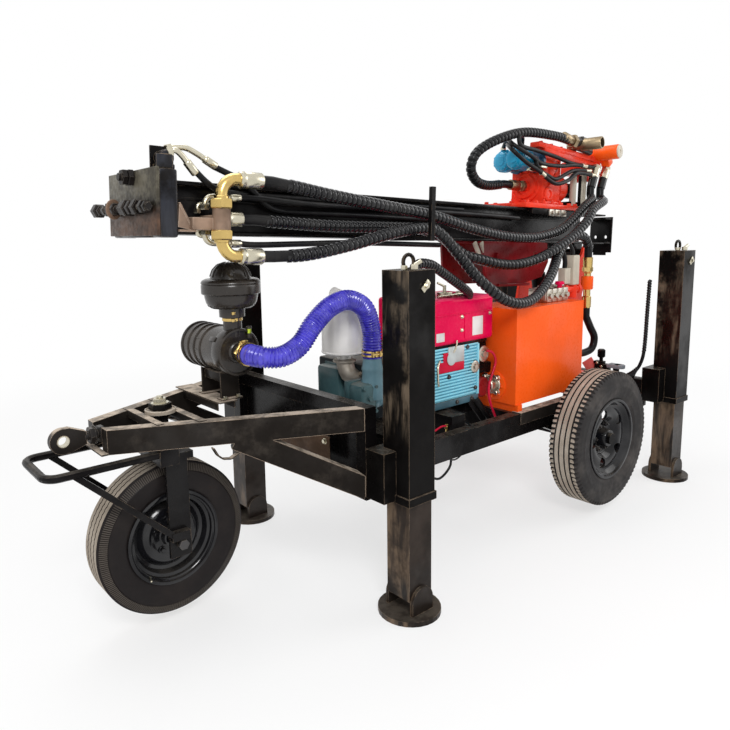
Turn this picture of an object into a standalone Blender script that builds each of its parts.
"""Trailer water well drilling rig: three-wheeled towed chassis, four jack legs, tilting mast."""
import math

import bmesh
import bpy
from mathutils import Matrix, Vector

# Frame: +X points to the drawbar, +Y to the left side, +Z up, floor at z = 0, metres.
FRONT_LEG_X = 0.65905
LEG_BASE = 2.400
LEG_TRACK = 1.3012
REAR_LEG_X = FRONT_LEG_X - LEG_BASE
SEAT = 0.0003
RUN = 0.006

# Jack legs.
LEG_TUBE = 0.152
LEG_WALL = 0.009
LEG_TOP_Z = 1.482
LEG_BOTTOM_Z = 0.5126
COLLAR_H = 0.035
COLLAR_PROUD = 0.006
JACK_TUBE = 0.1334
JACK_BOTTOM_Z = 0.085
JACK_LENGTH = 1.07
FOOT_R = 0.1377
FOOT_T = 0.022
EAR_R = 0.062
EAR_T = 0.014
EYE_R = 0.030
EYE_BAR_R = 0.008

# Chassis.
RAIL_Y = 0.454
RAIL_W = 0.060
RAIL_H = 0.122
RAIL_BOTTOM_Z = 0.513
BULKHEAD_X = 0.145
BULKHEAD_T = 0.060
BULKHEAD_Y = 0.540
BULKHEAD_Z0 = 0.504
BULKHEAD_Z1 = 0.908
REAR_BEAM_DX = 0.115 - LEG_BASE
REAR_BEAM_W = 0.080
REAR_BEAM_Z0 = 0.470
REAR_BEAM_Z1 = 0.735
BRACKET_Z0 = 0.500
BRACKET_Z1 = 0.735

# Drawbar.
DRAW_RAIL_T = 0.050
DRAW_RAIL_H = 0.098
DRAW_RAIL_Z0 = 0.810
DRAW_NOSE_DX = 1.060
DRAW_NOSE_Y = 0.105
DRAW_ROOT_DX = 0.176
DRAW_ROOT_Y = 0.520
DRAW_RAIL_IN = 0.0527
BRACE_ROOT_Z0 = 0.506
BRACE_H = 0.095
BRACE_TIP_SHARE = 0.50
NOSE_PLATE_T = 0.022
NOSE_PLATE_Y = 0.130
NOSE_PLATE_Z0 = 0.803
NOSE_PLATE_Z1 = 0.932
LUG_T = 0.030
LUG_EYE_DX = DRAW_NOSE_DX + 0.146
LUG_EYE_Z = 0.872
LUG_EYE_R = 0.050
LUG_HOLE_R = 0.021

# Wheels.
FRONT_WHEEL_DX = DRAW_NOSE_DX - 0.254
FRONT_TYRE_R = 0.329
FRONT_TYRE_W = 0.160
FRONT_AXLE_Z = 0.379
REAR_WHEEL_DX = 0.8075 - LEG_BASE
REAR_TYRE_R = 0.3875
REAR_TYRE_W = 0.190
REAR_AXLE_Z = 0.4375
REAR_WHEEL_Y = 0.620
TREAD_DEPTH = 0.008
TREAD_GAP_SHARE = 0.045
FRONT_RIM_R = 0.195
REAR_RIM_R = 0.222
AXLE_R = 0.032
HUB_GAP = 0.004

# Front fork and steering handle.
FORK_LEG_Y = 0.112
FORK_LEG_T = 0.016
FORK_LEG_W = 0.094
FORK_CROWN_Z = 0.760
FORK_CROWN_T = 0.030
PLATE_T = 0.016
BAR_REACH = 0.090
BAR_W = 0.034
BAR_T = 0.030
RING_R = 0.085
RING_T = 0.014
KINGPIN_R = 0.030
HANDLE_Y = 0.150
HANDLE_R = 0.016
HANDLE_TIP_DX = DRAW_NOSE_DX + 0.255
HANDLE_Z = 0.782

# Engine group.
ENGINE_DX0, ENGINE_DX1 = -0.920, -0.060
ENGINE_Y0, ENGINE_Y1 = -0.190, 0.262
ENGINE_Z0, ENGINE_Z1 = 0.700, 1.050
FIN_COVER_DX0, FIN_COVER_DX1 = -0.900, -0.500
FIN_COVER_T = 0.036
FIN_ROOT_T = 0.022
FIN_COUNT = 16
FIN_COVER_Z0, FIN_COVER_Z1 = 0.715, 1.040
FUEL_DX0, FUEL_DX1 = -1.000, -0.480
FUEL_Z0, FUEL_Z1 = 1.0503, 1.290
MUFFLER_R = 0.112
MUFFLER_DX, MUFFLER_Y = -0.075, 0.110
MUFFLER_Z0, MUFFLER_Z1 = 1.010, 1.290
CLEANER_DX, CLEANER_Z = DRAW_NOSE_DX - 0.580, 1.135
CLEANER_R = 0.105
CLEANER_Y0, CLEANER_Y1 = -0.260, 0.110
DOME_R = 0.128
DOME_Z0, DOME_Z1 = 1.325, 1.520
DOME_Y = 0.060

# Oil tank.
TANK_DX0, TANK_DX1 = 0.680 - LEG_BASE, 1.340 - LEG_BASE
TANK_Y0, TANK_Y1 = 0.090, 0.420
TANK_Z0, TANK_Z1 = 0.675, 1.206
TANK_FOOT_H = 0.040

# Mast. Its own frame has the pivot at (0, 0, 0), x along the mast and z away from its back.
PIVOT_DX = 0.250 - LEG_BASE
PIVOT_Z = 1.472
MAST_SLOPE = math.radians(2.15)
MAST_X0, MAST_X1 = -0.390, 2.990
MAST_BACK = 0.060
MAST_DEPTH = 0.205
MAST_WEB_Y = 0.105
MAST_FLANGE_Y = 0.145
MAST_FLANGE_T = 0.015
PIVOT_PIN_R = 0.025
CROWN_WALL = 0.025
CROWN_Y = 0.232
PANEL_Y = 0.238
PANEL_T = 0.020
ADJUSTER_X = MAST_X1 + 0.070
ADJUSTER_Z = MAST_BACK + 0.097
ADJUSTER_LUG_Y = 0.123
FOOT_PLATE_Y = 0.083
STAND_IN_Y = 0.165
STAND_T = 0.016

# Rotary head, in the mast's frame.
HEAD_X0, HEAD_X1 = -0.250, 0.620
HEAD_BASE_Z = MAST_BACK + MAST_DEPTH + 0.0005
HEAD_BASE_T = 0.030
HEAD_BASE_Y = 0.170
SPINDLE_Z = 0.410

# Lift cylinder.
CYL_BASE_DX, CYL_BASE_Z = PIVOT_DX + 0.200, 0.850
CYL_EYE_X, CYL_EYE_Z = 0.300, -0.020
BARREL_R = 0.045
ROD_R = 0.025

HOSE_R = 0.026


def make_collection(name):
    group = bpy.data.collections.new(name)
    bpy.context.scene.collection.children.link(group)
    return group


for old in list(bpy.data.objects):
    bpy.data.objects.remove(old, do_unlink=True)

RIG = make_collection("water_well_drilling_rig")
CUTTERS = make_collection("cutters")


def material(name, colour, rough, metal=0.0):
    made = bpy.data.materials.new(name)
    made.use_nodes = True
    shader = made.node_tree.nodes["Principled BSDF"]
    shader.inputs["Base Color"].default_value = (*colour, 1.0)
    shader.inputs["Roughness"].default_value = rough
    shader.inputs["Metallic"].default_value = metal
    return made


BLACK = material("black_paint", (0.025, 0.025, 0.028), 0.45)
GREY = material("grey_steel", (0.30, 0.28, 0.26), 0.5, 0.6)
RED = material("red_paint", (0.62, 0.03, 0.03), 0.4)
ORANGE = material("orange_paint", (0.85, 0.15, 0.03), 0.4)
MAGENTA = material("magenta_paint", (0.70, 0.01, 0.10), 0.35)
CYAN = material("cyan_paint", (0.20, 0.55, 0.68), 0.45)
BLUE = material("blue_paint", (0.02, 0.30, 0.55), 0.4)
SILVER = material("silver", (0.62, 0.61, 0.58), 0.35, 0.8)
BROWN = material("bare_steel", (0.22, 0.16, 0.12), 0.6, 0.4)
TYRE = material("tyre_rubber", (0.05, 0.05, 0.048), 0.85)
RIM = material("rim_black", (0.03, 0.03, 0.032), 0.4)
RUBBER = material("hose_rubber", (0.03, 0.03, 0.03), 0.6)
PURPLE = material("purple_hose", (0.16, 0.12, 0.62), 0.35)
CHROME = material("chrome", (0.75, 0.75, 0.75), 0.15, 1.0)


def dx(offset):
    """X of a station given from the front legs' axis."""
    return FRONT_LEG_X + offset


def link(name, mesh, group=RIG):
    made = bpy.data.objects.new(name, mesh)
    group.objects.link(made)
    return made


def mesh_from(name, bm, group=RIG):
    mesh = bpy.data.meshes.new(name)
    bm.to_mesh(mesh)
    bm.free()
    return link(name, mesh, group)


def box(name, x0, x1, y0, y1, z0, z1):
    bm = bmesh.new()
    bmesh.ops.create_cube(bm, size=1.0)
    size = Vector((x1 - x0, y1 - y0, z1 - z0))
    middle = Vector((x0 + x1, y0 + y1, z0 + z1)) / 2
    bmesh.ops.transform(bm, matrix=Matrix.Translation(middle) @ Matrix.Diagonal((*size, 1)), verts=bm.verts)
    return mesh_from(name, bm)


AXIS_TURN = {
    "X": Matrix.Rotation(math.pi / 2, 4, "Y"),
    "Y": Matrix.Rotation(math.pi / 2, 4, "X"),
    "Z": Matrix.Identity(4),
}


def cylinder(name, centre, radius, length, axis="Z", sides=24, radius2=None):
    bm = bmesh.new()
    far = radius if radius2 is None else radius2
    bmesh.ops.create_cone(bm, cap_ends=True, segments=sides, radius1=radius, radius2=far, depth=length)
    bmesh.ops.transform(bm, matrix=Matrix.Translation(centre) @ AXIS_TURN[axis], verts=bm.verts)
    return mesh_from(name, bm)


def strut(name, start, end, width, height, up=Vector((0, 0, 1))):
    """A straight bar of rectangular section between two points, on its centre line."""
    a, b = Vector(start), Vector(end)
    along = (b - a).normalized()
    side = up.cross(along).normalized()
    top = along.cross(side)
    turn = Matrix((along, side, top)).transposed().to_4x4()
    bm = bmesh.new()
    bmesh.ops.create_cube(bm, size=1.0)
    scale = Matrix.Diagonal(((b - a).length, width, height, 1))
    bmesh.ops.transform(bm, matrix=Matrix.Translation((a + b) / 2) @ turn @ scale, verts=bm.verts)
    return mesh_from(name, bm)


def plate(name, outline, low, high, plane="XZ"):
    """A flat outline extruded between two stations: XZ outlines along Y, XY along Z, YZ along X."""
    curve = bpy.data.curves.new(name, "CURVE")
    curve.dimensions = "2D"
    curve.fill_mode = "BOTH"
    curve.extrude = (high - low) / 2
    line = curve.splines.new("POLY")
    line.points.add(len(outline) - 1)
    for point, (u, v) in zip(line.points, outline):
        point.co = (u, v, 0, 1)
    line.use_cyclic_u = True
    shape = link(name, curve)
    middle = (low + high) / 2
    if plane == "XZ":
        shape.matrix_world = Matrix.Translation((0, middle, 0)) @ Matrix.Rotation(math.pi / 2, 4, "X")
    elif plane == "YZ":
        cols = Matrix(((0, 0, 1, middle), (1, 0, 0, 0), (0, 1, 0, 0), (0, 0, 0, 1)))
        shape.matrix_world = cols
    else:
        shape.matrix_world = Matrix.Translation((0, 0, middle))
    return as_mesh(shape, flat=True)


def whole_caps(bm):
    """One face for each end of an extruded outline, in place of the fill's slivers."""
    caps = [face for face in bm.faces if len({round(vert.co.z, 6) for vert in face.verts}) == 1]
    bmesh.ops.delete(bm, geom=caps, context="FACES")
    loose = [edge for edge in bm.edges if not edge.link_faces]
    bmesh.ops.delete(bm, geom=loose, context="EDGES")
    bmesh.ops.holes_fill(bm, edges=[edge for edge in bm.edges if edge.is_boundary], sides=0)


def as_mesh(shape, flat=False):
    """A mesh object in place of a curve, with its caps welded."""
    bpy.context.view_layer.update()
    graph = bpy.context.evaluated_depsgraph_get()
    mesh = bpy.data.meshes.new_from_object(shape.evaluated_get(graph))
    bm = bmesh.new()
    bm.from_mesh(mesh)
    bmesh.ops.remove_doubles(bm, verts=bm.verts, dist=0.00001)
    if flat:
        whole_caps(bm)
    bmesh.ops.recalc_face_normals(bm, faces=bm.faces)
    bm.to_mesh(mesh)
    bm.free()
    name = shape.name
    made = link(name, mesh)
    made.matrix_world = shape.matrix_world.copy()
    bpy.data.objects.remove(shape, do_unlink=True)
    made.name = name
    return made


def tube(name, points, radius, sides=2, smooth_steps=0):
    """A round bar or hose through points, on a poly spline with closed ends."""
    route = smooth(points, smooth_steps) if smooth_steps else [Vector(p) for p in points]
    curve = bpy.data.curves.new(name, "CURVE")
    curve.dimensions = "3D"
    curve.bevel_depth = radius
    curve.bevel_resolution = sides
    curve.use_fill_caps = True
    line = curve.splines.new("POLY")
    line.points.add(len(route) - 1)
    for point, place in zip(line.points, route):
        point.co = (*place, 1)
    return link(name, curve)


def smooth(points, spacing):
    """Evenly spaced points on a Catmull-Rom curve through the given ones."""
    route = [Vector(p) for p in points]
    ends = [route[0] * 2 - route[1]] + route + [route[-1] * 2 - route[-2]]
    fine = []
    for a, b, c, d in zip(ends, ends[1:], ends[2:], ends[3:]):
        for step in range(20):
            t = step / 20
            fine.append(0.5 * ((2 * b) + (c - a) * t + (2 * a - 5 * b + 4 * c - d) * t * t
                               + (3 * b - a - 3 * c + d) * t ** 3))
    fine.append(route[-1])
    lengths = [0.0]
    for a, b in zip(fine, fine[1:]):
        lengths.append(lengths[-1] + (b - a).length)
    count = max(2, round(lengths[-1] / spacing))
    out, k = [], 0
    for i in range(count + 1):
        want = lengths[-1] * i / count
        while k < len(fine) - 2 and lengths[k + 1] < want:
            k += 1
        span = lengths[k + 1] - lengths[k]
        share = 0 if span == 0 else (want - lengths[k]) / span
        out.append(fine[k].lerp(fine[k + 1], min(1, max(0, share))))
    return out


def turned(name, profile, centre, axis="Y", steps=36):
    """A turned ring or disc: profile points are (radius, along), outer side top to bottom."""
    bm = bmesh.new()
    verts = [bm.verts.new((r, 0, z)) for r, z in profile]
    closed = profile[0][0] > 0.0001 and profile[-1][0] > 0.0001
    for a, b in zip(verts, verts[1:]):
        bm.edges.new((a, b))
    if closed:
        bm.edges.new((verts[-1], verts[0]))
    made = mesh_from(name, bm)
    screw = made.modifiers.new("turn", "SCREW")
    screw.steps = steps
    screw.render_steps = steps
    screw.use_merge_vertices = True
    screw.merge_threshold = 0.00001
    screw.use_smooth_shade = True
    made.matrix_world = Matrix.Translation(centre) @ AXIS_TURN[axis]
    return made


def solid(name, first, adds=(), cuts=(), colour=BLACK):
    """One node: a first shape, with others joined on and cut out."""
    first.name = name
    first.data.name = name
    first.data.materials.clear()
    first.data.materials.append(colour)
    for tool in adds:
        use_tool(first, tool, "UNION")
    for tool in cuts:
        use_tool(first, tool, "DIFFERENCE")
    return first


def use_tool(target, tool, operation):
    for group in list(tool.users_collection):
        group.objects.unlink(tool)
    CUTTERS.objects.link(tool)
    tool.hide_render = True
    tool.display_type = "WIRE"
    step = target.modifiers.new(operation.lower(), "BOOLEAN")
    step.operation = operation
    step.object = tool
    step.solver = "EXACT"


def joint_empty(name, place, turn=None):
    made = bpy.data.objects.new(name, None)
    RIG.objects.link(made)
    made.matrix_world = Matrix.Translation(place) @ (turn or Matrix.Identity(4))
    return made


def carry(empty, *pieces):
    """Parent pieces, drawn in world places, to a joint's empty."""
    bpy.context.view_layer.update()
    for piece in pieces:
        piece.parent = empty
        piece.matrix_parent_inverse = empty.matrix_world.inverted()


def mounted(empty, *pieces):
    """Parent pieces, drawn in the empty's own frame, with the tools that shape them."""
    for piece in pieces:
        piece.parent = empty
        for step in piece.modifiers:
            if step.type == "BOOLEAN":
                step.object.parent = empty


SIDES = (("left", 1), ("right", -1))


def chassis_rails():
    for side, sign in SIDES:
        outer = RAIL_Y * sign
        inner = (RAIL_Y - RAIL_W) * sign
        low, high = sorted((outer, inner))
        rail = box("rail", dx(REAR_BEAM_DX + REAR_BEAM_W / 2) + SEAT, dx(BULKHEAD_X - BULKHEAD_T) - SEAT,
                   low, high, RAIL_BOTTOM_Z, RAIL_BOTTOM_Z + RAIL_H)
        solid(f"chassis_rail_{side}", rail)


def bulkhead():
    x0, x1 = dx(BULKHEAD_X - BULKHEAD_T), dx(BULKHEAD_X)
    wall = box("wall", x0, x0 + 0.010, -BULKHEAD_Y, BULKHEAD_Y, BULKHEAD_Z0, BULKHEAD_Z1)
    posts = [box("post", x0, x1, *sorted((sign * (BULKHEAD_Y - 0.060), sign * BULKHEAD_Y)), BULKHEAD_Z0,
                 BULKHEAD_Z1)
             for _, sign in SIDES]
    beams = [box("beam", x0, x1, -BULKHEAD_Y, BULKHEAD_Y, z,
                 z + 0.060) for z in (BULKHEAD_Z0, BULKHEAD_Z1 - 0.060)]
    solid("front_bulkhead", wall, posts + beams)


def rear_beam():
    x = dx(REAR_BEAM_DX)
    beam = box("beam", x - REAR_BEAM_W / 2, x + REAR_BEAM_W / 2, -BULKHEAD_Y, BULKHEAD_Y, REAR_BEAM_Z0,
               REAR_BEAM_Z1)
    solid("rear_crossbeam", beam)


def cross_members():
    stations = (-0.16, -0.62)
    for name, station in zip(("engine_bearer_front", "engine_bearer_rear"), stations):
        inner = RAIL_Y - RAIL_W - SEAT
        x = dx(station)
        bearer = box("bearer", x - 0.05, x + 0.05, -inner, inner, RAIL_BOTTOM_Z, ENGINE_Z0 - SEAT)
        solid(name, bearer)


def legs():
    half = LEG_TUBE / 2
    bore = half - LEG_WALL
    ends = (("front", FRONT_LEG_X, dx(BULKHEAD_X) - SEAT),
            ("rear", REAR_LEG_X, dx(REAR_BEAM_DX) + REAR_BEAM_W / 2))
    for end, x, bracket_end in ends:
        for side, sign in SIDES:
            y = sign * LEG_TRACK / 2
            tube_box = box("tube", x - half, x + half, y - half, y + half, LEG_BOTTOM_Z, LEG_TOP_Z)
            wide = half + COLLAR_PROUD
            collar = box("collar", x - wide, x + wide, y - wide, y + wide, LEG_BOTTOM_Z,
                         LEG_BOTTOM_Z + COLLAR_H)
            bracket = box("bracket", x - 0.02, bracket_end, *sorted((sign * (BULKHEAD_Y + SEAT), y)),
                          BRACKET_Z0 + 0.02, BRACKET_Z1)
            eye = turned("eye", eye_ring_profile(), (x, y, LEG_TOP_Z + EYE_R), "Y", 16)
            inside = box("inside", x - bore, x + bore, y - bore, y + bore, LEG_BOTTOM_Z - 0.01,
                         LEG_TOP_Z - 0.012)
            solid(f"leg_tube_{end}_{side}", tube_box, [collar, bracket, eye], [inside])
            jack(end, side, x, y)


def eye_ring_profile():
    points = []
    for i in range(8):
        angle = 2 * math.pi * i / 8
        points.append((EYE_R + EYE_BAR_R * math.cos(angle), -EYE_BAR_R * math.sin(angle)))
    return points


def jack(end, side, x, y):
    half = JACK_TUBE / 2
    stem = box("stem", x - half, x + half, y - half, y + half, JACK_BOTTOM_Z, JACK_BOTTOM_Z + JACK_LENGTH)
    foot = cylinder("foot", (x, y, FOOT_T / 2), FOOT_R, FOOT_T, sides=28)
    gap = half + 0.001
    ears = []
    for s in (1, -1):
        ear = plate("ear", ear_outline(x), *sorted((y + s * (gap - 0.002), y + s * (gap + EAR_T))))
        ears.append(ear)
    slide = joint_empty(f"jack_slide_{end}_{side}", (x, y, JACK_BOTTOM_Z))
    carry(slide, solid(f"jack_leg_{end}_{side}", stem, ears + [foot], colour=GREY))


def ear_outline(x):
    points = [(x - EAR_R, FOOT_T / 2)]
    for i in range(13):
        angle = math.pi - math.pi * i / 12
        points.append((x + EAR_R * math.cos(angle), 0.075 + EAR_R * math.sin(angle)))
    points.append((x + EAR_R, FOOT_T / 2))
    return points


def drawbar():
    z = DRAW_RAIL_Z0 + DRAW_RAIL_H / 2
    for side, sign in SIDES:
        tip = Vector((dx(DRAW_NOSE_DX), sign * (DRAW_NOSE_Y - DRAW_RAIL_T / 2), z))
        root = Vector((dx(DRAW_ROOT_DX), sign * (DRAW_ROOT_Y - DRAW_RAIL_T / 2), z))
        along = (tip - root).normalized() * 0.06
        root, tip = root - along, tip + along
        rail = strut("rail", root, tip, DRAW_RAIL_T, DRAW_RAIL_H)
        meet = root.lerp(tip, BRACE_TIP_SHARE)
        meet.z = DRAW_RAIL_Z0 + 0.02
        low = root.copy()
        low.z = BRACE_ROOT_Z0 + BRACE_H / 2
        brace = strut("brace", low, meet, DRAW_RAIL_T, BRACE_H)
        low_end = dx(BULKHEAD_X) + SEAT
        high_end = dx(DRAW_NOSE_DX) + 0.012 - SEAT
        trims = [box("trim", low_end - 0.3, low_end, -1, 1, 0, 2),
                 box("trim", high_end, high_end + 0.3, -1, 1, 0, 2)]
        solid(f"drawbar_{side}", rail, [brace], trims)


def drawbar_nose():
    x = dx(DRAW_NOSE_DX) + 0.012
    wall = box("wall", x, x + NOSE_PLATE_T, -NOSE_PLATE_Y, NOSE_PLATE_Y, NOSE_PLATE_Z0, NOSE_PLATE_Z1)
    eye_x = dx(LUG_EYE_DX)
    web = box("web", x + 0.01, eye_x, -LUG_T / 2, LUG_T / 2, LUG_EYE_Z - LUG_EYE_R + 0.004,
              LUG_EYE_Z + LUG_EYE_R - 0.004)
    eye = cylinder("eye", (eye_x, 0, LUG_EYE_Z), LUG_EYE_R, LUG_T, "Y", 28)
    hole = cylinder("hole", (eye_x, 0, LUG_EYE_Z), LUG_HOLE_R, LUG_T * 2, "Y", 20)
    solid("tow_lug", wall, [web, eye], [hole])


def cross_bar(name, a, b, inset, z0, z1):
    """A flat from rail to rail of the drawbar, its ends cut along the rails."""
    y_a, y_b = draw_y(a) - inset, draw_y(b) - inset
    return plate(name, [(dx(a), -y_a), (dx(b), -y_b), (dx(b), y_b), (dx(a), y_a)], z0, z1, "XY")


def turntable():
    top = DRAW_RAIL_Z0 + DRAW_RAIL_H
    inset = DRAW_RAIL_IN + SEAT * 2
    front = cross_bar("bar", FRONT_WHEEL_DX + BAR_REACH - BAR_W, FRONT_WHEEL_DX + BAR_REACH, inset,
                      top - BAR_T, top)
    back = cross_bar("bar", FRONT_WHEEL_DX - BAR_REACH, FRONT_WHEEL_DX - BAR_REACH + BAR_W, inset,
                     top - BAR_T, top)
    place = (dx(FRONT_WHEEL_DX), 0, top - 0.002 + RING_T / 2)
    ring = cylinder("ring", place, RING_R, RING_T, sides=32)
    hole = cylinder("hole", place, KINGPIN_R + 0.001, 0.2, sides=24)
    solid("turntable_plate", front, [ring, back], [hole])


def cleaner_saddle():
    top = DRAW_RAIL_Z0 + DRAW_RAIL_H + SEAT
    slab = cross_bar("cleaner_plate", CLEANER_DX - 0.110, CLEANER_DX + 0.080, 0.004, top, top + PLATE_T)
    saddle = box("saddle", dx(CLEANER_DX) - 0.05, dx(CLEANER_DX) + 0.05, -0.16, 0.02,
                 top + PLATE_T - 0.001, CLEANER_Z - CLEANER_R + 0.03)
    bed = cylinder("bed", (dx(CLEANER_DX), -0.07, CLEANER_Z), CLEANER_R + SEAT, 0.4, "Y", 36)
    solid("cleaner_plate", slab, [saddle], [bed])


def draw_y(station):
    """Half width of the drawbar's outer faces at a station."""
    share = (station - DRAW_ROOT_DX) / (DRAW_NOSE_DX - DRAW_ROOT_DX)
    return DRAW_ROOT_Y + (DRAW_NOSE_Y - DRAW_ROOT_Y) * share


def tyre_profile(outer, inner, width):
    half = width / 2
    tread = []
    for place in (0.38, 0.0, -0.38):
        y, gap = half * place, half * TREAD_GAP_SHARE
        floor = outer - TREAD_DEPTH
        tread += [(outer, y + gap), (floor, y + gap * 0.6), (floor, y - gap * 0.6), (outer, y - gap)]
    return [
        (outer, half * 0.72), *tread, (outer, -half * 0.72), (outer * 0.985, -half * 0.84),
        (outer * 0.90, -half), (inner * 1.12, -half * 0.92), (inner, -half * 0.72),
        (inner, half * 0.72), (inner * 1.12, half * 0.92), (outer * 0.90, half), (outer * 0.985, half * 0.84),
    ]


def wheel(name, centre, outer, rim_r, width, bore, hub_half):
    tyre = turned("tyre", tyre_profile(outer, rim_r, width), centre, "Y", 40)
    solid(f"{name}_tyre", tyre, colour=TYRE)
    r = rim_r - SEAT
    w = width * 0.36
    profile = [(r, w), (r, -w), (r - 0.012, -w), (r - 0.030, -w * 0.5), (r - 0.040, 0.004), (0.085, 0.014),
               (0.070, -hub_half), (bore, -hub_half), (bore, hub_half), (0.070, hub_half), (0.085, 0.030),
               (r - 0.040, 0.020), (r - 0.024, w * 0.5), (r - 0.012, w)]
    rim = turned("rim", profile, centre, "Y", 40)
    solid(f"{name}_rim", rim, colour=RIM)
    spin = joint_empty(f"{name}_spin", centre)
    bpy.context.view_layer.update()
    carry(spin, tyre, rim)


def wheels():
    wheel("front_wheel", (dx(FRONT_WHEEL_DX), 0, FRONT_AXLE_Z), FRONT_TYRE_R, FRONT_RIM_R, FRONT_TYRE_W,
          AXLE_R * 0.6 + 0.0005, 0.060)
    for side, sign in SIDES:
        wheel(f"rear_wheel_{side}", (dx(REAR_WHEEL_DX), sign * REAR_WHEEL_Y, REAR_AXLE_Z), REAR_TYRE_R,
              REAR_RIM_R, REAR_TYRE_W, AXLE_R + 0.0005, 0.070)


def rear_axle():
    x = dx(REAR_WHEEL_DX)
    inner = REAR_WHEEL_Y - 0.070 - HUB_GAP
    beam = box("beam", x - 0.04, x + 0.04, -inner, inner, REAR_AXLE_Z - 0.04, REAR_AXLE_Z + 0.04)
    stub = cylinder("stub", (x, 0, REAR_AXLE_Z), AXLE_R, 2 * (REAR_WHEEL_Y + 0.070 + 0.012), "Y", 24)
    seats = []
    for _, sign in SIDES:
        y0, y1 = sorted((sign * (RAIL_Y - RAIL_W), sign * RAIL_Y))
        outline = [(x - 0.30, RAIL_BOTTOM_Z - SEAT), (x + 0.30, RAIL_BOTTOM_Z - SEAT),
                   (x + 0.07, REAR_AXLE_Z - 0.02), (x - 0.07, REAR_AXLE_Z - 0.02)]
        seats.append(plate("seat", outline, y0, y1))
    solid("rear_axle", beam, [stub] + seats)


def fork():
    x = dx(FRONT_WHEEL_DX)
    crown = box("crown", x - 0.075, x + 0.075, -FORK_LEG_Y - FORK_LEG_T, FORK_LEG_Y + FORK_LEG_T,
                FORK_CROWN_Z - FORK_CROWN_T, FORK_CROWN_Z)
    pin_top = DRAW_RAIL_Z0 + DRAW_RAIL_H + RING_T + 0.004
    pin = cylinder("pin", (x, 0, (FORK_CROWN_Z + pin_top) / 2), KINGPIN_R, pin_top - FORK_CROWN_Z + 0.01,
                   sides=24)
    cap = cylinder("cap", (x, 0, pin_top + 0.012), KINGPIN_R + 0.018, 0.024, sides=6)
    parts = [pin, cap]
    for _, sign in SIDES:
        y0, y1 = sorted((sign * FORK_LEG_Y, sign * (FORK_LEG_Y + FORK_LEG_T)))
        half = FORK_LEG_W / 2
        parts.append(box("leg", x - half, x + half, y0, y1, FRONT_AXLE_Z - 0.06, FORK_CROWN_Z - 0.005))
    axle = cylinder("axle", (x, 0, FRONT_AXLE_Z), AXLE_R * 0.6, 2 * (FORK_LEG_Y + FORK_LEG_T + 0.03), "Y", 20)
    made = solid("front_fork", crown, parts + [axle])
    steer = joint_empty("front_steer", (x, 0, FRONT_AXLE_Z))
    y = HANDLE_Y
    tip = dx(HANDLE_TIP_DX)
    root = x + 0.055
    loop = [(root, y, HANDLE_Z), (tip - 0.05, y, HANDLE_Z)]
    for i in range(1, 6):
        angle = math.pi / 2 * (1 - i / 6)
        loop.append((tip - 0.05 + 0.05 * math.cos(angle), y - 0.05 + 0.05 * math.sin(angle), HANDLE_Z))
    loop += [(tip, y - 0.05, HANDLE_Z), (tip, 0, HANDLE_Z)]
    loop += [(px, -py, pz) for px, py, pz in reversed(loop[:-1])]
    bar = as_mesh(tube("handle", loop, HANDLE_R, 3))
    arms = []
    for _, sign in SIDES:
        arms.append(box("lug", root - 0.05, root + 0.03,
                        *sorted((sign * (FORK_LEG_Y + FORK_LEG_T + SEAT), sign * (y + 0.018))),
                        HANDLE_Z - 0.05, HANDLE_Z + 0.020))
        arms.append(strut("brace", (tip - 0.10, sign * y, HANDLE_Z - 0.006),
                          (x + 0.02, sign * y, FRONT_AXLE_Z + 0.03),
                          0.014, 0.024))
        arms.append(box("foot", x - 0.03, x + 0.05,
                        *sorted((sign * (FORK_LEG_Y + FORK_LEG_T + SEAT), sign * (y + 0.010))),
                        FRONT_AXLE_Z + 0.025, FRONT_AXLE_Z + 0.060))
    handle = solid("tow_handle", bar, arms)
    carry(steer, made, handle)


def fin_cover():
    """A cover plate with horizontal fins, drawn as a comb."""
    back, root, tip = ENGINE_Y1 + SEAT, ENGINE_Y1 + FIN_ROOT_T, ENGINE_Y1 + FIN_COVER_T
    pitch = (FIN_COVER_Z1 - FIN_COVER_Z0) / (FIN_COUNT + 0.5)
    outline = [(back, FIN_COVER_Z0)]
    for i in range(FIN_COUNT + 1):
        z = FIN_COVER_Z0 + i * pitch
        outline += [(tip, z), (tip, z + pitch / 2)]
        if i < FIN_COUNT:
            outline += [(root, z + pitch / 2), (root, z + pitch)]
    outline.append((back, FIN_COVER_Z1))
    return plate("cover", outline, dx(FIN_COVER_DX0), dx(FIN_COVER_DX1), "YZ")


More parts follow.
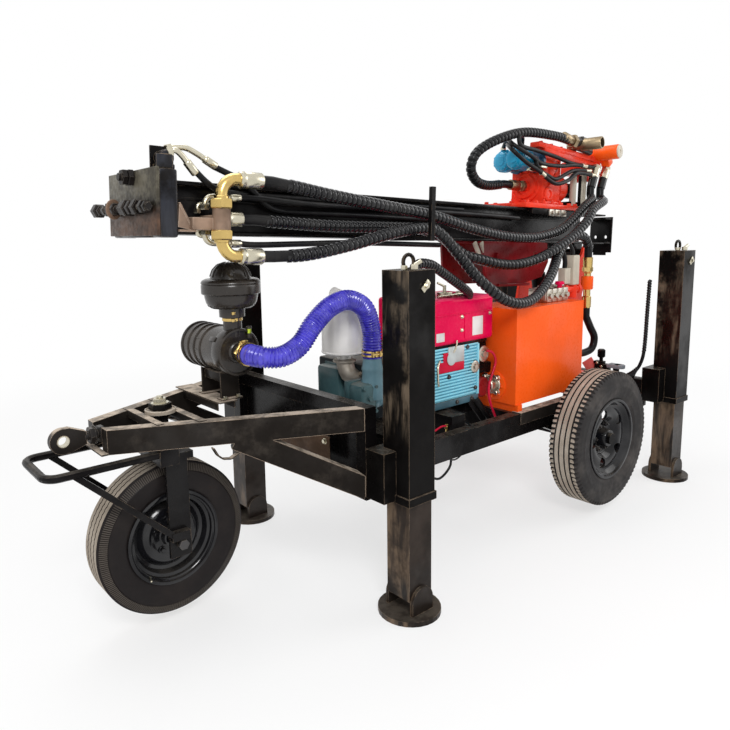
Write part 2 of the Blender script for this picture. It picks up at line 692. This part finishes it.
def engine():
    block = box("block", dx(ENGINE_DX0), dx(ENGINE_DX1), ENGINE_Y0, ENGINE_Y1, ENGINE_Z0, ENGINE_Z1)
    solid("engine_block", block, colour=CYAN)
    solid("engine_fin_cover", fin_cover(), colour=CYAN)
    fuel = box("fuel", dx(FUEL_DX0), dx(FUEL_DX1), -0.06, ENGINE_Y1 + 0.05, FUEL_Z0, FUEL_Z1)
    bevel = fuel.modifiers.new("round", "BEVEL")
    bevel.width = 0.02
    bevel.segments = 3
    solid("fuel_tank", fuel, colour=MAGENTA)
    x, y = dx(MUFFLER_DX - 0.03), MUFFLER_Y
    drum = cylinder("drum", (x, y, (MUFFLER_Z0 + 0.05 + MUFFLER_Z1) / 2), MUFFLER_R,
                    MUFFLER_Z1 - MUFFLER_Z0 - 0.05, sides=32)
    neck = cylinder("neck", (x, y, MUFFLER_Z0 + 0.03), 0.045, 0.11, sides=20)
    outlet = cylinder("outlet", (x - 0.02, y, MUFFLER_Z1 + 0.03), 0.032, 0.08, sides=20)
    bore = cylinder("bore", (x - 0.02, y, MUFFLER_Z1 + 0.06), 0.027, 0.08, sides=20)
    base = box("base", x - 0.06, x + 0.06, y - 0.06, y + 0.06, ENGINE_Z1 + SEAT - 0.001 + 0.001,
               ENGINE_Z1 + 0.012)
    neck_gap = box("trim", x - 0.3, x + 0.3, y - 0.3, y + 0.3, ENGINE_Z1 - 0.3, ENGINE_Z1 + SEAT)
    solid("muffler", drum, [neck, outlet, base], [bore, neck_gap], colour=SILVER)
    x, y = dx(-0.115), 0.300
    body = cylinder("body", (x, y, 0.900), 0.065, 0.13, "Y", 28)
    spout = cylinder("spout", (x, y, 0.9975), 0.050, 0.115, sides=24)
    elbow = box("elbow", x - 0.06, x + 0.05, ENGINE_Y1 + SEAT, y, 0.845, 0.955)
    trim = box("trim", x - 0.3, x + 0.3, ENGINE_Y1 - 0.3, ENGINE_Y1 + SEAT, 0.6, 1.3)
    solid("intake_elbow", body, [spout, elbow], [trim], colour=CYAN)


def air_cleaner():
    x = dx(CLEANER_DX)
    span = CLEANER_Y1 - CLEANER_Y0
    can = cylinder("can", (x, (CLEANER_Y0 + CLEANER_Y1) / 2, CLEANER_Z), CLEANER_R, span, "Y", 36)
    outlet = cylinder("outlet", (x, CLEANER_Y1 + 0.02, CLEANER_Z), 0.040, 0.05, "Y", 24)
    neck = cylinder("neck", (x, DOME_Y, CLEANER_Z + 0.14), 0.040, 0.12, sides=24)
    solid("air_cleaner", can, [outlet, neck])
    z = (DOME_Z0 + DOME_Z1) / 2
    profile = [(0, DOME_Z1), (0.05, DOME_Z1 - 0.006), (0.095, DOME_Z1 - 0.04), (0.108, DOME_Z1 - 0.072),
               (DOME_R, DOME_Z1 - 0.080), (DOME_R, DOME_Z0 + 0.060), (0.112, DOME_Z0 + 0.050),
               (0.105, DOME_Z0 + 0.03),
               (0.055, DOME_Z0), (0.055, DOME_Z0 - 0.04), (0.0, DOME_Z0 - 0.04)]
    profile = [(r, h - z) for r, h in profile]
    dome = turned("dome", profile, (x, DOME_Y, z), "Z", 32)
    socket = cylinder("socket", (x, DOME_Y, CLEANER_Z + 0.14), 0.040 + SEAT, 0.12 + 2 * SEAT, sides=24)
    solid("pre_cleaner", dome, cuts=[socket], colour=RIM)


def oil_tank():
    shell = box("shell", dx(TANK_DX0), dx(TANK_DX1), TANK_Y0, TANK_Y1, TANK_Z0, TANK_Z1)
    feet = [box("foot", dx(d) - 0.02, dx(d) + 0.02, TANK_Y0, TANK_Y1 + 0.01, TANK_Z0 - TANK_FOOT_H + SEAT,
                TANK_Z0 + 0.001)
            for d in (TANK_DX0 + 0.06, TANK_DX1 - 0.03)]
    ports = [cylinder("port", (dx(TANK_DX0) - 0.015, 0.30, 0.85), 0.026, 0.05, "X", 20)]
    solid("oil_tank", shell, feet + ports, colour=ORANGE)
    inner = RAIL_Y - RAIL_W - SEAT
    beam = box("beam", dx(TANK_DX1 - 0.08), dx(TANK_DX1 + 0.02), -inner, inner, RAIL_BOTTOM_Z,
               RAIL_BOTTOM_Z + RAIL_H)
    solid("tank_crossmember", beam)
    valve = box("valve", dx(TANK_DX0) + 0.06, dx(TANK_DX0) + 0.28, 0.22, 0.36, TANK_Z1 + SEAT,
                TANK_Z1 + 0.085)
    solid("control_valve", valve, colour=SILVER)


def mast_stand():
    base_z = RAIL_BOTTOM_Z + RAIL_H + SEAT
    x_pivot = dx(PIVOT_DX)
    sides = []
    for _, sign in SIDES:
        y0, y1 = sorted((sign * STAND_IN_Y, sign * (STAND_IN_Y + STAND_T)))
        outline = [(x_pivot + 0.385, base_z + 0.01), (x_pivot + 0.045, base_z + 0.01),
                   (x_pivot + 0.045, 1.20),
                   (x_pivot - 0.055, PIVOT_Z - 0.02)]
        for i in range(7):
            angle = math.pi - math.pi * i / 6
            outline.append((x_pivot + 0.055 * math.cos(angle), PIVOT_Z + 0.055 * math.sin(angle)))
        outline.append((x_pivot + 0.25, 1.26))
        sides.append(plate("side", outline, y0, y1))
    base = box("base", x_pivot + 0.04, x_pivot + 0.39, -RAIL_Y, RAIL_Y, base_z, base_z + 0.05)
    tie = box("tie", x_pivot + 0.05, x_pivot + 0.09, -STAND_IN_Y - 0.01, STAND_IN_Y + 0.01, 0.70, 1.10)
    hole = cylinder("hole", (x_pivot, 0, PIVOT_Z), PIVOT_PIN_R + 0.001, 1.0, "Y", 24)
    ears = [box("ear", dx(CYL_BASE_DX) - 0.04, dx(CYL_BASE_DX) + 0.04, *sorted((s * 0.026, s * 0.042)),
                base_z + 0.04,
                CYL_BASE_Z + 0.025) for s in (1, -1)]
    solid("mast_stand", base, sides + [tie] + ears, [hole], colour=RED)


def mast_crown():
    """The box round the mast's front end, with its face plate, hose bracket and chain adjuster."""
    x = MAST_X1
    face = x + CROWN_WALL
    z0, z1 = MAST_BACK - 0.020, MAST_BACK + MAST_DEPTH + 0.030
    wall = box("wall", x + SEAT, face + 0.002, -CROWN_Y + 0.01, CROWN_Y - 0.01, z0 + 0.005, z1 - 0.005)
    parts = [box("panel", face, face + PANEL_T, -PANEL_Y, PANEL_Y, z0, z1)]
    for _, sign in SIDES:
        y0, y1 = sorted((sign * (MAST_FLANGE_Y + SEAT), sign * CROWN_Y))
        parts.append(box("cheek", x - 0.065, face + 0.001, y0, y1, z0 + 0.002, z1 - 0.002))
        y = sign * ADJUSTER_LUG_Y
        parts.append(box("lug", face + PANEL_T - 0.002, ADJUSTER_X + 0.012, y - 0.012, y + 0.012,
                         ADJUSTER_Z - 0.022, ADJUSTER_Z + 0.022))
    parts.append(box("bracket", x - 0.050, face - 0.001, CROWN_Y - 0.080, CROWN_Y - 0.020, z1 - 0.010,
                     z1 + 0.080))
    parts.append(cylinder("rod", (ADJUSTER_X, -0.034, ADJUSTER_Z), 0.011, 0.532, "Y", 16))
    parts.append(cylinder("disc", (ADJUSTER_X, -0.012, ADJUSTER_Z), 0.038, 0.010, "Y", 24))
    parts.append(cylinder("stud", (face + PANEL_T + 0.028, 0.022, ADJUSTER_Z + 0.105), 0.015, 0.060, "X", 16))
    parts.append(cylinder("nut", (face + PANEL_T + 0.023, 0.022, ADJUSTER_Z + 0.105), 0.029, 0.044, "X", 6))
    return solid("mast_crown", wall, parts)


def mast_foot():
    x = MAST_X0 - 0.10
    plate_box = box("foot", x, x + 0.012, -FOOT_PLATE_Y, FOOT_PLATE_Y, 0.0, 0.252)
    bars = [box("bar", x + 0.010, MAST_X0 - SEAT, -FOOT_PLATE_Y + 0.003, FOOT_PLATE_Y - 0.003, z, z + 0.012)
            for z in (0.062, 0.232)]
    holes = [cylinder("hole", (x, y, 0.111), 0.0115, 0.1, "X", 16) for y in (-0.040, 0.038)]
    return solid("mast_foot", plate_box, bars, holes)


def mast():
    pivot = joint_empty("mast_raise", (dx(PIVOT_DX), 0, PIVOT_Z), Matrix.Rotation(-MAST_SLOPE, 4, "Y"))
    low, high = MAST_BACK, MAST_BACK + MAST_DEPTH
    half = [(0.125, low), (0.125, low + 0.012), (MAST_WEB_Y, low + 0.012), (MAST_WEB_Y, high - MAST_FLANGE_T),
            (MAST_FLANGE_Y, high - MAST_FLANGE_T), (MAST_FLANGE_Y, high)]
    outline = half + [(-y, z) for y, z in reversed(half)]
    beam = plate("beam", outline, MAST_X0, MAST_X1, "YZ")
    lugs = [box("lug", -0.05, 0.05, *sorted((s * 0.085, s * 0.115)), -0.045, low + 0.02) for s in (1, -1)]
    ears = [box("ear", CYL_EYE_X - 0.05, CYL_EYE_X + 0.05, *sorted((s * 0.040, s * 0.056)),
                CYL_EYE_Z - 0.05, low + 0.02)
            for s in (1, -1)]
    pin = cylinder("pin", (0, 0, 0), PIVOT_PIN_R, 2 * (STAND_IN_Y + STAND_T + 0.012), "Y", 24)
    body = solid("mast_beam", beam, lugs + ears + [pin])
    crown = mast_crown()
    foot_node = mast_foot()
    t_x, t_z = 2.770, 0.125
    arm = box("arm", t_x - 0.03, t_x + 0.05, MAST_WEB_Y + SEAT, 0.25, t_z - 0.03, t_z + 0.03)
    tee = cylinder("tee", (t_x, 0.25, t_z), 0.036, 0.19, sides=24)
    elbows = []
    for s in (1, -1):
        bend = [(t_x, 0.25, t_z + s * 0.08)]
        for i in range(0, 7):
            angle = math.pi / 2 * i / 6
            bend.append((t_x - 0.07 + 0.07 * math.cos(angle), 0.25,
                         t_z + s * (0.08 + 0.07 * math.sin(angle))))
        bend.append((t_x - 0.17, 0.25, t_z + s * 0.15))
        elbows.append(as_mesh(tube("elbow", bend, 0.025, 3)))
        elbows.append(cylinder("ferrule", (t_x - 0.135, 0.25, t_z + s * 0.15), 0.031, 0.075, "X", 20))
    elbows.append(cylinder("port", (t_x - 0.065, 0.172, t_z), 0.024, 0.11, "X", 20))
    manifold = solid("mast_manifold", arm, [tee] + elbows, colour=BROWN)
    post2 = box("post", 1.730, 1.755, 0.385, 0.405, 0.050, 0.30)
    rest = box("rest", 1.730, 1.755, 0.1253, 0.40, 0.0515, 0.0715)
    hose_rack = solid("hose_rack", rest, [post2])
    mounted(pivot, body, crown, foot_node, manifold, hose_rack)
    return pivot


def rotary_head(pivot):
    slide = joint_empty("head_slide", (0, 0, 0))
    slide.parent = pivot
    slide.matrix_world = pivot.matrix_world.copy()
    z0, z1 = HEAD_BASE_Z, HEAD_BASE_Z + HEAD_BASE_T
    base = box("base", HEAD_X0, HEAD_X1, -HEAD_BASE_Y, HEAD_BASE_Y, z0, z1)
    cheeks = [box("cheek", HEAD_X0, HEAD_X1, *sorted((s * (MAST_FLANGE_Y + RUN), s * HEAD_BASE_Y)),
                  z0 - 0.035, z0 + 0.01)
              for s in (1, -1)]
    carriage = solid("head_carriage", base, cheeks, colour=RED)
    box_g = box("gear", 0.25, 0.45, -0.115, 0.115, z1 + SEAT, 0.60)
    flange = cylinder("flange", (0.46, 0, SPINDLE_Z), 0.09, 0.04, "X", 32)
    stub = cylinder("stub", (0.53, 0, SPINDLE_Z), 0.026, 0.14, "X", 20)
    chuck = cylinder("chuck", (0.11, 0, SPINDLE_Z), 0.095, 0.30, "X", 32)
    gear = solid("head_gearbox", box_g, [flange, stub, chuck], colour=RED)
    motors = [cylinder("motor", (0.60, s * 0.068, 0.555), 0.062, 0.24, "X", 24) for s in (1, -1)]
    pad = box("pad", 0.45 + SEAT, 0.49, -0.10, 0.10, 0.505, 0.60)
    motor = solid("head_motors", pad, motors, colour=BLUE)
    block = box("block", -0.21, -0.01, -0.06, 0.14, 0.515, 0.605)
    arm = strut("arm", (0.33, 0.02, 0.684), (-0.215, 0.105, 0.612), 0.080, 0.030)
    riser = box("riser", 0.275, 0.325, -0.050, 0.045, 0.60 + SEAT, 0.685)
    saddle = box("saddle", -0.090, -0.030, 0.080, 0.150, 0.600, 0.680)
    pipe = cylinder("pipe", (-0.05, 0.14, 0.700), 0.033, 0.33, "X", 24)
    bore = cylinder("bore", (-0.16, 0.14, 0.700), 0.026, 0.16, "X", 24)
    bottle = cylinder("bottle", (-0.22, 0.15, 0.650), 0.042, 0.24, "X", 24)
    ports = [cylinder("port", (x, 0.155, 0.49), 0.026, 0.12, sides=20) for x in (-0.04, -0.16)]
    upper = solid("head_block", block, [arm, riser, saddle, pipe, bottle] + ports, [bore], colour=RED)
    mounted(slide, carriage, gear, motor, upper)


def lift_cylinder():
    base = Vector((dx(CYL_BASE_DX), 0, CYL_BASE_Z))
    turn = Matrix.Rotation(-MAST_SLOPE, 4, "Y")
    eye = Vector((dx(PIVOT_DX), 0, PIVOT_Z)) + turn @ Vector((CYL_EYE_X, 0, CYL_EYE_Z))
    along = (eye - base).normalized()
    length = (eye - base).length
    tilt = Matrix.Rotation(math.atan2(along.x, along.z), 4, "Y")
    hinge = joint_empty("lift_swing", base, tilt)
    foot = cylinder("foot", (0, 0, 0), 0.032, 0.0514, "Y", 20)
    neck = cylinder("neck", (0, 0, 0.035), 0.022, 0.07, sides=20)
    barrel = cylinder("barrel", (0, 0, 0.05 + (length - 0.17) / 2), BARREL_R, length - 0.17, sides=28)
    bore = cylinder("bore", (0, 0, length / 2 + 0.08), ROD_R + 0.0008, length, sides=20)
    body = solid("lift_barrel", barrel, [foot, neck], [bore], colour=BLACK)
    rod = cylinder("rod", (0, 0, length / 2 + 0.10 - 0.02), ROD_R, length - 0.20 + 0.04, sides=20)
    head = cylinder("head", (0, 0, length), 0.036, 0.0794, "Y", 20)
    rod_node = solid("lift_rod", rod, [head], colour=CHROME)
    mounted(hinge, body, rod_node)


def on_mast(x, y, z):
    """A point of the mast's frame at rest, X given from the front legs' axis."""
    place = Matrix.Rotation(-MAST_SLOPE, 4, "Y") @ Vector((x, y, z))
    return (PIVOT_DX + place.x, place.y, PIVOT_Z + place.z)


# Free hoses: radius, colour and the points that each one passes, X from the front legs' axis.
# The first two and the last two points lie on the axis of the port that they end in.
ROUTES = {
    "hose_mud_upper": (HOSE_R, RUBBER, [
        on_mast(2.5972, 0.25, 0.275), on_mast(2.54, 0.25, 0.275), (0.25, 0.258, 1.822), (0.094, 0.27, 1.795),
        (-0.20, 0.27, 1.755), (-0.537, 0.27, 1.711), (-0.843, 0.27, 1.645), (-1.098, 0.27, 1.602),
        (-1.30, 0.27, 1.585),
        (-1.457, 0.27, 1.587), (-1.686, 0.262, 1.621), (-1.847, 0.255, 1.687), (-1.996, 0.24, 1.766),
        (-2.13, 0.206, 1.808), (-2.19, 0.172, 1.82), on_mast(-0.04, 0.155, 0.378),
        on_mast(-0.04, 0.155, 0.4297)]),
    "hose_mud_lower": (HOSE_R, RUBBER, [
        on_mast(2.5972, 0.25, -0.025), on_mast(2.53, 0.25, -0.025), (0.22, 0.27, 1.545), (0.0, 0.29, 1.579),
        (-0.30, 0.30, 1.635), (-0.50, 0.30, 1.645), (-0.58, 0.32, 1.605), (-0.655, 0.37, 1.50),
        (-0.72, 0.42, 1.40),
        (-0.79, 0.46, 1.33), (-0.875, 0.475, 1.278), (-0.99, 0.48, 1.25), (-1.126, 0.465, 1.258),
        (-1.273, 0.43, 1.301),
        (-1.412, 0.39, 1.369), (-1.521, 0.346, 1.430), (-1.609, 0.308, 1.480), (-1.73, 0.284, 1.550),
        (-1.83, 0.29, 1.583),
        (-1.91, 0.297, 1.575), (-1.957, 0.30, 1.515), (-1.957, 0.30, 1.4503)]),
    "hose_feed": (HOSE_R, RUBBER, [
        on_mast(2.6497, 0.172, 0.125), on_mast(2.58, 0.172, 0.125), on_mast(2.2, 0.178, 0.112),
        on_mast(1.8, 0.178, 0.115),
        on_mast(1.5875, 0.178, 0.112), on_mast(1.45, 0.195, 0.075), (-0.825, 0.24, 1.51),
        (-0.946, 0.27, 1.474),
        (-1.078, 0.29, 1.446), (-1.217, 0.31, 1.44), (-1.381, 0.325, 1.465), (-1.504, 0.342, 1.508),
        (-1.64, 0.348, 1.562),
        (-1.749, 0.345, 1.61), (-1.864, 0.34, 1.676), (-1.967, 0.315, 1.745), (-2.12, 0.285, 1.79),
        (-2.25, 0.225, 1.805),
        (-2.315, 0.18, 1.815), on_mast(-0.16, 0.155, 0.372), on_mast(-0.16, 0.155, 0.4297)]),
    "hose_swivel": (HOSE_R, RUBBER, [
        on_mast(0.6003, 0.0, SPINDLE_Z), on_mast(0.68, 0.0, SPINDLE_Z), (-1.30, 0.02, 1.893),
        (-1.17, 0.04, 1.915),
        (-1.10, 0.06, 1.985), (-1.13, 0.085, 2.07), (-1.28, 0.11, 2.145), (-1.50, 0.13, 2.20),
        (-1.80, 0.14, 2.20),
        on_mast(0.19, 0.14, 0.70), on_mast(0.1153, 0.14, 0.70)]),
    "intake_hose": (0.046, PURPLE, [
        (0.480, 0.1553, 1.135), (0.480, 0.205, 1.135), (0.455, 0.265, 1.130), (0.385, 0.297, 1.130),
        (0.297, 0.30, 1.167), (0.225, 0.30, 1.245), (0.130, 0.30, 1.315), (0.026, 0.30, 1.337),
        (-0.068, 0.30, 1.293), (-0.110, 0.30, 1.196), (-0.115, 0.30, 1.120), (-0.115, 0.30, 1.0553)]),
    "hose_return": (0.024, RUBBER, [
        (-1.957, 0.30, 1.1297), (-1.957, 0.30, 1.075), (-2.01, 0.303, 1.00), (-2.06, 0.305, 0.93),
        (-2.04, 0.303, 0.86),
        (-1.95, 0.30, 0.84), (-1.82, 0.30, 0.85), (-1.7603, 0.30, 0.85)]),
}
CORD_STEP = 0.055


def hoses():
    for name, (radius, colour, route) in ROUTES.items():
        points = [Vector((dx(x), y, z)) for x, y, z in route]
        hose = tube(name, [points[0], *smooth(points[1:-1], CORD_STEP), points[-1]], radius)
        hose.data.materials.append(colour)
    x = dx(-1.957)
    body = cylinder("body", (x, 0.30, 1.29), 0.026, 0.32, sides=20)
    nut = cylinder("nut", (x, 0.30, 1.30), 0.040, 0.085, sides=6)
    solid("return_valve", body, [nut], colour=SILVER)


chassis_rails()
bulkhead()
rear_beam()
cross_members()
legs()
drawbar()
drawbar_nose()
turntable()
cleaner_saddle()
wheels()
rear_axle()
fork()
engine()
air_cleaner()
oil_tank()
mast_stand()
MAST_PIVOT = mast()
rotary_head(MAST_PIVOT)
lift_cylinder()
hoses()
